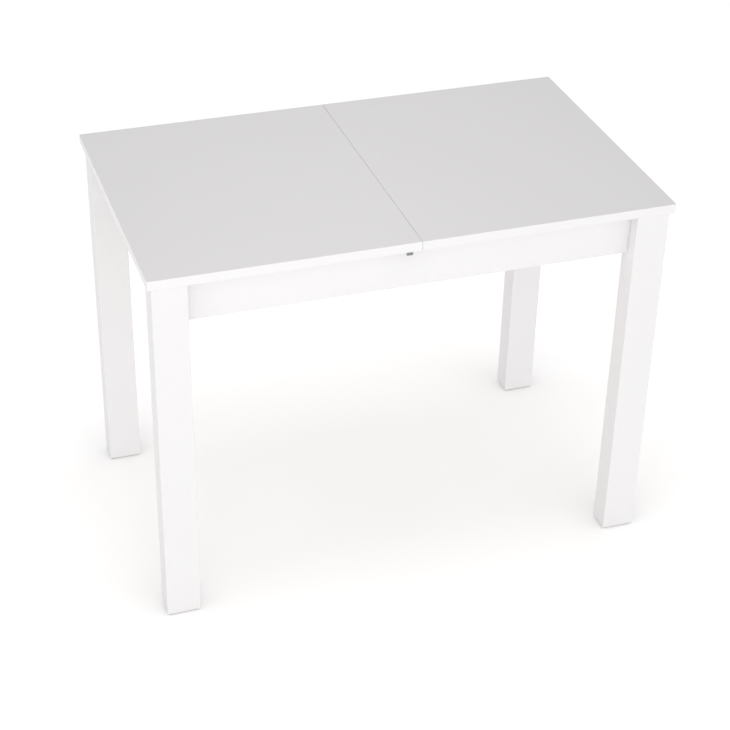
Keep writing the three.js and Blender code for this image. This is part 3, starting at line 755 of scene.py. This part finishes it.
@dataclass
class BandedPanel:
    """A board with an edge band all round and a hairline joint between band and face foil."""

    node: str
    label: str
    body: Body
    dowel_face: Vector
    dowel_depth: float
    rounded_side: int = 0
    corner_radius: float = 3 * MM
    eased_radius: float = 0.4 * MM
    band: float = 1.0 * MM
    joint: float = 0.05 * MM
    panel_ease: float = 0.12 * MM
    edge_radius: float = 0.8 * MM
    dowel_radius: float = 4.3 * MM
    dowel_places: tuple[float, ...] = (-0.2, 0.0, 0.2)
    pilot_places: tuple[tuple[float, float], ...] = ()
    pilot_radius: float = 2.5 * MM
    pilot_depth: float = 8.3 * MM

    def drillings(self) -> list[Mesh]:
        """The cutters for the dowel holes in one edge and the pilot holes in the underside."""
        low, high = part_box(self.node)
        middle = (low + high) / 2
        reach = Vector([(high - low)[k] / 2 * self.dowel_face[k] for k in range(3)])
        along = Vector((abs(self.dowel_face.y), abs(self.dowel_face.x), 0.0))
        margin = 1 * MM
        edge = middle + reach + self.dowel_face * margin
        depth = self.dowel_depth + margin
        holes = [
            rod(edge + along * place, -self.dowel_face, self.dowel_radius, depth)
            for place in self.dowel_places
        ]
        pilots = [
            rod((x, y, low.z - margin), (0, 0, 1), self.pilot_radius, self.pilot_depth + margin, 16)
            for x, y in self.pilot_places
        ]
        return holes + pilots

    def outline(self, low: Vector, high: Vector, inset: float) -> Solid:
        """A block whose corners are rounded at the table's end and eased elsewhere.

        Args:
            low: the block's lowest corner.
            high: the block's highest corner.
            inset: how far the block lies inside the board's outline.

        Returns:
            The shaped block.
        """
        middle = (low.x + high.x) / 2

        def rounded(edge: Edge) -> bool:
            """True for an upright edge at the table's end."""
            return is_upright(edge) and (edge.verts[0].co.x - middle) * self.rounded_side > 0

        def eased(edge: Edge) -> bool:
            """True for an upright edge anywhere else."""
            return is_upright(edge) and (edge.verts[0].co.x - middle) * self.rounded_side <= 0

        solid = Solid.block(low, high)
        solid.round(max(self.eased_radius - inset, 0.05 * MM), 3, eased)
        if self.rounded_side:
            solid.round(self.corner_radius - inset, 6, rounded)
        return solid

    def edge_band(self) -> Mesh:
        """The band: the board's outline with its core cut out."""
        low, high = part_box(self.node)
        inset = Vector((self.band, self.band, -1 * MM))
        core = self.outline(low + inset, high - inset, self.band).mesh("core")
        ring = cut(self.outline(low, high, 0.0).mesh("outline"), [core])
        solid = Solid()
        solid.add(ring, Matrix.Identity(4))
        solid.round(self.edge_radius * 0.6, 3, self.is_outer(low, high))
        return solid.mesh("band")

    def is_outer(self, low: Vector, high: Vector) -> Callable[[Edge], bool]:
        """A test for the band's outer rims, which are the ones a hand meets."""
        inset = self.band / 2

        def test(edge: Edge) -> bool:
            """True if the whole edge lies near the board's outline."""
            inside = [
                low.x + inset < vert.co.x < high.x - inset and low.y + inset < vert.co.y < high.y - inset
                for vert in edge.verts
            ]
            return is_level(edge) and not all(inside)

        return test

    def face_panel(self) -> Mesh:
        """The foiled panel inside the band, with faintly eased edges."""
        low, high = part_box(self.node)
        inset = Vector((self.band + self.joint, self.band + self.joint, 0.0))
        solid = self.outline(low + inset, high - inset, self.band)
        solid.round(self.panel_ease, 2, is_level)
        return solid.mesh("panel")

    def build(self) -> None:
        """Makes the panel and its band, both drilled."""
        panel = cut(self.face_panel(), self.drillings())
        band = cut(self.edge_band(), self.drillings())
        piece(f"{self.label}_panel", panel, FOIL, self.body, [self.node])
        piece(f"{self.label}_edge_band", band, EDGE_BAND, self.body)


@dataclass
class Dowels:
    """Turned and fluted dowels with chamfered ends."""

    nodes: tuple[str, ...]
    axis: Vector
    body: Body
    finish: Finish
    flutes: int = 16
    flute_depth: float = 0.25 * MM
    chamfer: float = 1.0 * MM

    def build(self) -> None:
        """Makes one piece for each packed dowel."""
        for node in self.nodes:
            low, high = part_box(node)
            size = high - low
            length = max(size)
            radius = min(size) / 2
            solid = Solid()
            sides = self.flutes * 4
            bmesh.ops.create_cone(
                solid.bm, cap_ends=True, segments=sides, radius1=radius, radius2=radius, depth=length
            )
            for index, vert in enumerate(sorted(solid.bm.verts, key=lambda v: math.atan2(v.co.y, v.co.x))):
                if (index // 2) % 4 == 0:
                    vert.co.xy *= 1 - self.flute_depth / radius
            solid.round(self.chamfer, 2, is_level)
            solid.moved(facing((low + high) / 2, self.axis))
            piece(f"{node}_turned", solid, self.finish, self.body, [node])


@dataclass
class TableTop:
    """The two halves of the top with their dowels."""

    def build(self) -> None:
        """Makes both halves."""
        dowel_hole = 25.3 * MM
        mating_hole = 11 * MM
        for side, body, sx, depth, screws in (
            ("left", Body.LEFT, -1, dowel_hole, "latch_screw"),
            ("right", Body.RIGHT, 1, mating_hole, "keeper_pin"),
        ):
            seam_face = Vector((-sx, 0, 0))
            pilots = self.pilots(screws)
            panel = BandedPanel(f"table_top_{side}", f"top_{side}", body, seam_face, depth)
            panel.pilot_places = pilots
            panel.rounded_side = sx
            panel.build()
        names = tuple(f"seam_dowel_{place}" for place in ("front", "middle", "back"))
        Dowels(names, Vector((1, 0, 0)), Body.LEFT, DOWEL_BEECH).build()

    def pilots(self, prefix: str) -> tuple[tuple[float, float], ...]:
        """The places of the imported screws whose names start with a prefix."""
        places = []
        for node in sorted(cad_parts):
            if node.startswith(prefix):
                low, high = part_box(node)
                places.append(((low.x + high.x) / 2, (low.y + high.y) / 2))
        return tuple(places)


@dataclass
class ExtensionLeaf:
    """The stored leaf, with dowels in one edge and holes in the other."""

    def build(self) -> None:
        """Makes the leaf's panel, band and dowels."""
        BandedPanel("extension_leaf", "leaf", Body.LEAF, Vector((0, -1, 0)), 11 * MM).build()
        names = tuple(f"leaf_dowel_{place}" for place in ("left", "middle", "right"))
        Dowels(names, Vector((0, 1, 0)), Body.LEAF, LEAF_DOWEL_BEECH).build()


# ------------------------------------------------------------------ fittings


@dataclass
class CrossHead:
    """A domed screw head with a cross recess, made once and placed many times."""

    radius: float = 3.6 * MM
    height: float = 1.6 * MM
    recess_width: float = 0.9 * MM
    recess_depth: float = 1.0 * MM
    _mesh: Mesh | None = field(default=None, repr=False)

    def mesh(self) -> Mesh:
        """The head standing on z = 0 and facing +Z."""
        if self._mesh is None:
            angles = (0.0, 0.35, 0.7, 1.05, 1.35)
            rim = [(self.radius * math.cos(a), self.height * math.sin(a)) for a in angles]
            profile = [(0.0, -0.2 * MM), (self.radius, -0.2 * MM), *rim, (0.0, self.height)]
            head = Solid.spun(profile, 20).mesh("head")
            half = self.radius * 0.62
            arms = []
            for long, short in ((half, self.recess_width / 2), (self.recess_width / 2, half)):
                low = Vector((-long, -short, self.height - self.recess_depth))
                high = Vector((long, short, self.height + 1 * MM))
                arms.append(Solid.block(low, high).mesh("arm"))
            self._mesh = cut(head, arms)
        return self._mesh

    def row(self, name: str, places: Sequence[tuple[Vector, Vector]], body: Body) -> None:
        """Makes one piece of several heads.

        Args:
            name: the piece's name.
            places: the point and the outward direction of each head.
            body: the body that they ride on.
        """
        solid = Solid()
        for index, (point, out) in enumerate(places):
            turn = Matrix.Rotation(0.7 * index, 4, "Z")
            solid.add(self.mesh(), facing(point, out) @ turn)
        piece(name, solid, ZINC, body)


@dataclass
class LegFixing:
    """A corner bracket with its screws, and the hanger bolt and nut that hold a leg."""

    corner: str
    heads: CrossHead
    pitch: float = 1.25 * MM
    thread_depth: float = 0.5 * MM

    def build(self) -> None:
        """Makes the bracket, screws, bolt and nut of one corner."""
        bracket = f"corner_bracket_{self.corner}"
        rounded_node(f"{bracket}_bent", bracket, ZINC, Body.FRAME, 0.35 * MM, 2)
        nut = f"leg_nut_{self.corner}"
        rounded_node(f"{nut}_chamfered", nut, ZINC, Body.FRAME, 0.5 * MM, 2)
        self.heads.row(f"{bracket}_screws", self.screw_places(bracket), Body.FRAME)
        self.bolt()

    def screw_places(self, bracket: str) -> list[tuple[Vector, Vector]]:
        """Two heads on each flange of the bracket, facing into the frame."""
        low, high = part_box(bracket)
        sx = math.copysign(1, low.x + high.x)
        sy = math.copysign(1, low.y + high.y)
        outer = Vector((max(abs(low.x), abs(high.x)), max(abs(low.y), abs(high.y)), 0))
        inner = Vector((min(abs(low.x), abs(high.x)), min(abs(low.y), abs(high.y)), 0))
        steel = 2 * MM
        places = []
        for share in (0.3, 0.7):
            up = low.z + (high.z - low.z) * share
            end = 8 * MM + 12 * MM * share
            places.append((Vector((sx * (inner.x + end), sy * (outer.y - steel), up)), Vector((0, -sy, 0))))
            places.append((Vector((sx * (outer.x - steel), sy * (inner.y + end), up)), Vector((-sx, 0, 0))))
        return places

    def bolt(self) -> None:
        """The bolt: a core with a helical thread."""
        node = f"leg_bolt_{self.corner}"
        low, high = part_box(node)
        sx = math.copysign(1, low.x + high.x)
        sy = math.copysign(1, low.y + high.y)
        inward = Vector((-sx, -sy, 0)).normalized()
        radius = (high.z - low.z) / 2
        span = Vector((high.x - low.x, high.y - low.y, 0)).length - 2 * radius
        core = radius - self.thread_depth
        start = (low + high) / 2 - inward * span / 2
        profile = [(0.0, 0.0), (core * 0.85, 0.0), (core, core * 0.15), (core, span - 0.8 * MM)]
        profile += [(core * 0.8, span), (0.0, span)]
        solid = Solid.spun(profile, 20)
        self.thread(solid, core, radius, span)
        solid.moved(facing(start, inward))
        piece(f"{node}_threaded", solid, ZINC, Body.FRAME, [node])

    def thread(self, solid: Solid, core: float, radius: float, span: float) -> None:
        """Winds a ridge round the core, from near one end to near the other.

        Args:
            solid: the core, standing on z = 0.
            core: the core's radius.
            radius: the radius over the thread.
            span: the bolt's length.
        """
        sunk = core - 0.1 * MM
        turns = int((span - 3 * self.pitch) / self.pitch)
        half = self.pitch * 0.42
        points = [(sunk, self.pitch), (radius, self.pitch + half), (sunk, self.pitch + 2 * half)]
        verts = [solid.bm.verts.new((r, 0.0, z)) for r, z in points]
        ridge = solid.bm.faces.new(verts)
        steps = 16
        bmesh.ops.spin(
            solid.bm,
            geom=[ridge],
            cent=(0, 0, 0),
            axis=(0, 0, 1),
            dvec=(0, 0, self.pitch / steps),
            angle=2 * math.pi * turns,
            steps=steps * turns,
        )
        bmesh.ops.recalc_face_normals(solid.bm, faces=solid.bm.faces)


@dataclass
class Bumpers:
    """The rubber bumpers that stop the runners."""

    dish: float = 0.6 * MM

    def build(self) -> None:
        """Makes a domed bumper for each packed one."""
        for node in [n for n in sorted(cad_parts) if n.startswith("stop_bumper")]:
            low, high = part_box(node)
            inward = Vector((-math.copysign(1, low.x), 0, 0))
            wall = Vector((low.x if inward.x > 0 else high.x, (low.y + high.y) / 2, (low.z + high.z) / 2))
            radius = (high.y - low.y) / 2
            tall = high.x - low.x
            profile = [(0.0, 0.0), (radius, 0.0), (radius, tall * 0.5), (radius * 0.93, tall * 0.82)]
            profile += [(radius * 0.75, tall), (radius * 0.35, tall), (radius * 0.25, tall - self.dish)]
            profile += [(0.0, tall - self.dish)]
            domed = Solid.spun(profile, 32).moved(facing(wall, inward))
            piece(f"{node}_domed", domed, RUBBER, Body.FRAME, [node])


@dataclass
class Latch:
    """One latch: the sliding plate with its ribbed tab, the two screws it slides on, and the keeper pin."""

    side: str
    body: Body
    ribs: int = 3
    rib_height: float = 0.5 * MM
    plate_length: float = 36 * MM
    tab_width: float = 12 * MM

    def build(self) -> None:
        """Makes the plate, the ribs, the screws and the keeper."""
        node = f"latch_plate_{self.side}"
        rounded_node(f"{node}_eased", node, GREY_STEEL, self.body, 0.35 * MM, 2)
        self.thumb_ribs(node)
        for index in (1, 2):
            self.screw(f"latch_screw_{self.side}_{index}", Body.LEFT)
        self.screw(f"keeper_pin_{self.side}", Body.RIGHT)

    def thumb_ribs(self, node: str) -> None:
        """Raised ribs across the face of the thumb tab."""
        low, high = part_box(node)
        sy = math.copysign(1, low.y + high.y)
        face = max(abs(low.y), abs(high.y)) * sy
        tab_left = low.x + (self.plate_length - self.tab_width) / 2
        tab_right = tab_left + self.tab_width
        solid = Solid()
        for index in range(self.ribs):
            up = low.z + (1.2 + 1.7 * index) * MM
            front = Vector((tab_left + 1.5 * MM, min(face, face + sy * self.rib_height), up))
            back = Vector((tab_right - 1.5 * MM, max(face, face + sy * self.rib_height), up + 0.8 * MM))
            rib = Solid.block(front, back).round(0.22 * MM, 2)
            solid.add(rib.mesh("rib"), Matrix.Identity(4))
        piece(f"{node}_ribs", solid, GREY_STEEL, self.body)

    def screw(self, node: str, body: Body) -> None:
        """A pan-head screw whose shank goes up into the top."""
        low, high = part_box(node)
        place = (low + high) / 2
        head_radius = (high.x - low.x) / 2
        head_tall = 2 * MM
        shank = 2 * MM
        flip = Matrix.Rotation(math.pi, 4, "X")
        profile = [(0.0, low.z), (head_radius * 0.7, low.z), (head_radius * 0.93, low.z + head_tall * 0.3)]
        profile += [(head_radius, low.z + head_tall * 0.6), (head_radius, low.z + head_tall)]
        profile += [(shank, low.z + head_tall), (shank, high.z - 2 * MM), (0.4 * MM, high.z), (0.0, high.z)]
        turned = Solid.spun(profile, 24).moved(Matrix.Translation((place.x, place.y, 0))).mesh("screw")
        half = head_radius * 0.55
        arms = []
        for long, short in ((half, 0.45 * MM), (0.45 * MM, half)):
            corner = Vector((place.x - long, place.y - short, low.z - 1 * MM))
            other = Vector((place.x + long, place.y + short, low.z + 1.1 * MM))
            arms.append(Solid.block(corner, other).mesh("arm"))
        piece(f"{node}_turned", cut(turned, arms), ZINC, body, [node])


# ------------------------------------------------------------------ frame and runners


@dataclass
class TableFrame:
    """Legs, aprons, glides, battens and guide rails."""

    heads: CrossHead
    corners: tuple[str, ...] = ("front_left", "front_right", "back_left", "back_right")
    leg_radius: float = 1 * MM
    foot_ease: float = 0.6 * MM
    bolt_clearance: float = 0.4 * MM

    def build(self) -> None:
        """Makes every piece of the fixed frame."""
        for corner in self.corners:
            self.leg(corner)
            self.glide(corner)
            self.batten_bracket(corner)
            LegFixing(corner, self.heads).build()
        for side in ("front", "back", "left", "right"):
            rounded_node(f"apron_{side}_board", f"apron_{side}", FOIL, Body.FRAME, 0.8 * MM)
        for side in ("front", "back"):
            rounded_node(f"guide_rail_{side}_planed", f"guide_rail_{side}", BEECH, Body.FRAME, 0.6 * MM)
        for side in ("left", "right"):
            rounded_node(f"leaf_batten_{side}_planed", f"leaf_batten_{side}", PINE, Body.FRAME, 0.8 * MM)
            self.batten_screws(side)
        Bumpers().build()

    def leg(self, corner: str) -> None:
        """A foil-wrapped leg with rounded long edges, an eased foot and a hole for its hanger bolt."""
        node = f"leg_{corner}"
        low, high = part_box(node)
        solid = Solid.block(low, high).round_upright(self.leg_radius, 5)
        solid.round(self.foot_ease, 2, is_level)
        bored = cut(solid.mesh("leg"), [self.bolt_hole(corner)])
        piece(f"{node}_board", bored, FOIL, Body.FRAME, [node])

    def bolt_hole(self, corner: str) -> Mesh:
        """The cutter for the hole that a leg's hanger bolt sits in."""
        low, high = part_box(f"leg_bolt_{corner}")
        sx = math.copysign(1, low.x + high.x)
        sy = math.copysign(1, low.y + high.y)
        inward = Vector((-sx, -sy, 0)).normalized()
        radius = (high.z - low.z) / 2
        span = Vector((high.x - low.x, high.y - low.y, 0)).length - 2 * radius
        deep_end = (low + high) / 2 - inward * (span / 2 + self.bolt_clearance)
        return rod(deep_end, inward, radius + self.bolt_clearance, span + self.bolt_clearance)

    def glide(self, corner: str) -> None:
        """A moulded glide with a sunk nail in its sole."""
        node = f"foot_glide_{corner}"
        low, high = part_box(node)
        middle = (low + high) / 2
        plate = Solid.block(low, high).round_upright(self.leg_radius, 5).round(0.5 * MM, 2)
        sink = rod((middle.x, middle.y, low.z - 1 * MM), (0, 0, 1), 4.5 * MM, 2.2 * MM)
        piece(f"{node}_moulded", cut(plate.mesh("plate"), [sink]), GLIDE, Body.FRAME, [node])
        nail = CrossHead(radius=3.2 * MM, height=0.7 * MM, recess_depth=0.4 * MM)
        head = Vector((middle.x, middle.y, low.z + 1.1 * MM))
        nail.row(f"{node}_nail", [(head, Vector((0, 0, -1)))], Body.FRAME)

    def batten_bracket(self, corner: str) -> None:
        """A steel angle with two screws in each leg."""
        node = f"batten_bracket_{corner}"
        rounded_node(f"{node}_bent", node, ZINC, Body.FRAME, 0.35 * MM, 2)
        low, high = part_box(node)
        sy = math.copysign(1, low.y + high.y)
        wall = max(abs(low.y), abs(high.y)) - 2 * MM
        middle = (low + high) / 2
        places = []
        for step in (-8 * MM, 8 * MM):
            x = middle.x + step
            places.append((Vector((x, sy * wall, middle.z - 2 * MM)), Vector((0, -sy, 0))))
            places.append((Vector((x, middle.y - sy * 3 * MM, high.z - 2 * MM)), Vector((0, 0, -1))))
        self.heads.row(f"{node}_screws", places, Body.FRAME)

    def batten_screws(self, side: str) -> None:
        """Screw heads under a batten, which hold the guide rails down."""
        low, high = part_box(f"leaf_batten_{side}")
        places = []
        for rail in ("front", "back"):
            rail_low, rail_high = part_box(f"guide_rail_{rail}")
            y = (rail_low.y + rail_high.y) / 2
            for share in (0.3, 0.7):
                x = low.x + (high.x - low.x) * share
                places.append((Vector((x, y, low.z)), Vector((0, 0, -1))))
        self.heads.row(f"leaf_batten_{side}_screws", places, Body.FRAME)


@dataclass
class Runners:
    """The four hardwood runners with the screws that hold them to the top halves."""

    heads: CrossHead
    screws: int = 4
    thickness: float = 16 * MM
    end_margin: float = 30 * MM

    def build(self) -> None:
        """Makes each runner and its row of screw heads."""
        for side, body in (("left", Body.LEFT), ("right", Body.RIGHT)):
            for flank in ("outer", "inner"):
                node = f"runner_{side}_{flank}"
                rounded_node(f"{node}_planed", node, BEECH, body, 0.6 * MM)
                self.screw_row(node, body)

    def screw_row(self, node: str, body: Body) -> None:
        """Screw heads along the stretch that lies under the runner's own half."""
        low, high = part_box(node)
        end = low.x if body is Body.LEFT else high.x
        start = end - math.copysign(self.end_margin, end)
        stop = math.copysign(self.end_margin, end)
        solid_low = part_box(f"guide_rail_{'front' if low.y < 0 else 'back'}")
        guide_y = (solid_low[0].y + solid_low[1].y) / 2
        outside = abs(low.y + high.y) / 2 > abs(guide_y)
        edge = max(abs(low.y), abs(high.y)) if outside else min(abs(low.y), abs(high.y))
        middle = math.copysign(edge - self.thickness / 2 if outside else edge + self.thickness / 2, low.y)
        places = []
        for index in range(self.screws):
            x = start + (stop - start) * index / (self.screws - 1)
            places.append((Vector((x, middle, low.z)), Vector((0, 0, -1))))
        self.heads.row(f"{node}_screws", places, body)


# ------------------------------------------------------------------ studio


@dataclass(frozen=True)
class Sky:
    """The brightness of a soft sky: overhead, and round the horizon."""

    zenith: float = 0.442
    front: float = 1.795
    back: float = 0.41
    tint: Colour = (0.99, 0.987, 0.988)

    def build(self) -> None:
        """Makes the world."""
        world = bpy.data.worlds.new("studio_sky")
        bpy.context.scene.world = world
        world.use_nodes = True
        graph = Graph(world.node_tree)
        direction = graph.add("ShaderNodeTexCoord").outputs["Generated"]
        parts = graph.add("ShaderNodeSeparateXYZ", {"Vector": direction}).outputs
        overhead = graph.ramp(parts["Z"], 0.0, 0.9)
        frontness = graph.ramp(parts["Y"], -0.8, 0.8, (self.front, self.back))
        horizon = graph.math("MULTIPLY", frontness, graph.math("SUBTRACT", 1.0, overhead))
        level = graph.math("ADD", horizon, graph.math("MULTIPLY", overhead, self.zenith))
        shade = graph.add("ShaderNodeBackground", {"Color": opaque(self.tint), "Strength": level})
        graph.add("ShaderNodeOutputWorld", {"Surface": shade.outputs[0]})


@dataclass(frozen=True)
class Softbox:
    """A square area light that faces a point."""

    name: str
    place: Colour
    target: Colour
    size: float
    power: float
    colour: Colour = (1.0, 0.985, 0.975)

    def build(self) -> None:
        """Makes the light, hidden from the camera."""
        data = bpy.data.lights.new(self.name, "AREA")
        data.shape = "SQUARE"
        data.size = self.size
        data.energy = self.power
        data.color = self.colour
        made = bpy.data.objects.new(self.name, data)
        made.location = self.place
        aim = Vector(self.target) - Vector(self.place)
        made.rotation_euler = aim.to_track_quat("-Z", "Y").to_euler()
        made.visible_camera = False
        bpy.context.scene.collection.objects.link(made)


@dataclass
class Studio:
    """A pale floor with a painted shadow under the table, a soft sky, softboxes and the camera."""

    floor_size: float = 40.0
    floor_colour: Colour = (0.88, 0.88, 0.88)
    floor_glow: float = 0.46
    floor_tint: Colour = (1.0, 0.99, 0.99)
    # How far from the table the painted shadow in the floor's glow reaches.
    shadow_reach: float = 0.9
    sky: Sky = Sky()
    softboxes: tuple[Softbox, ...] = (
        Softbox("overhead_softbox", (0.0, 0.0, 2.6), (0.0, 0.0, 0.5), 1.2, 10.9),
        Softbox("left_softbox", (-2.0, -0.5, 1.2), (0.0, 0.0, 0.5), 1.0, 1.8),
        Softbox("front_softbox", (-0.55, -1.1, 1.45), (-0.1, -0.1, 0.6), 0.8, 1.7),
    )
    azimuth: float = -19.103
    elevation: float = 32.916
    roll: float = 1.237
    distance: float = 3.698
    target_height: float = 0.3033
    lens: float = 89.386
    sensor: float = 36.0

    def build(self) -> None:
        """Makes the floor, the sky, the softboxes and the camera."""
        self.floor()
        self.sky.build()
        for softbox in self.softboxes:
            softbox.build()
        self.camera()
        bpy.context.scene.view_settings.view_transform = "Standard"

    def floor(self) -> None:
        """A large matte floor with a faint glow, dimmed by ambient occlusion under and round the table as a
        painted shadow, which can be looked through from below.
        """
        solid = Solid()
        bmesh.ops.create_grid(solid.bm, x_segments=1, y_segments=1, size=self.floor_size / 2)
        made = bpy.data.objects.new("studio_floor", solid.mesh("studio_floor"))
        bpy.context.scene.collection.objects.link(made)
        material = bpy.data.materials.new("studio_floor")
        material.use_nodes = True
        graph = Graph(material.node_tree)
        # Painted shadow: the glow is multiplied by ambient occlusion, so the floor darkens under the table
        # and round the feet.
        painted_shadow_ao = graph.add("ShaderNodeAmbientOcclusion", {"Distance": self.shadow_reach}, samples=16)
        shader = graph.add(
            "ShaderNodeBsdfPrincipled",
            {
                "Base Color": opaque(self.floor_colour),
                "Roughness": 0.9,
                "Emission Color": opaque(self.floor_tint),
                "Emission Strength": graph.math("MULTIPLY", painted_shadow_ao.outputs["AO"], self.floor_glow),
                "Specular IOR Level": 0.0,
            },
        )
        below = graph.add("ShaderNodeNewGeometry").outputs["Backfacing"]
        clear = graph.add("ShaderNodeBsdfTransparent")
        seen = graph.add("ShaderNodeMixShader", {0: below, 1: shader.outputs["BSDF"], 2: clear.outputs[0]})
        graph.add("ShaderNodeOutputMaterial", {"Surface": seen.outputs[0]})
        made.data.materials.append(material)

    def camera(self) -> None:
        """The camera, looking down at the table from its front left."""
        azimuth, elevation, roll = (math.radians(a) for a in (self.azimuth, self.elevation, self.roll))
        back = Vector((
            math.sin(azimuth) * math.cos(elevation),
            -math.cos(azimuth) * math.cos(elevation),
            math.sin(elevation),
        ))
        level = Vector((math.cos(azimuth), math.sin(azimuth), 0.0))
        lifted = back.cross(level)
        right = level * math.cos(roll) + lifted * math.sin(roll)
        up = lifted * math.cos(roll) - level * math.sin(roll)
        data = bpy.data.cameras.new("camera")
        data.lens = self.lens
        data.sensor_width = self.sensor
        data.clip_end = 100.0
        made = bpy.data.objects.new("camera", data)
        bpy.context.scene.collection.objects.link(made)
        turn = Matrix((right, up, back)).transposed().to_4x4()
        place = Vector((0, 0, self.target_height)) + back * self.distance
        made.matrix_world = Matrix.Translation(place) @ turn
        bpy.context.scene.camera = made


def main() -> None:
    """Builds the table and its studio."""
    logging.basicConfig(level=logging.INFO, format="%(message)s")
    heads = CrossHead()
    Studio().build()
    TableTop().build()
    ExtensionLeaf().build()
    TableFrame(heads).build()
    Runners(heads).build()
    Latch("front", Body.FRONT_LATCH).build()
    Latch("back", Body.BACK_LATCH).build()


if __name__ == "__main__":
    main()
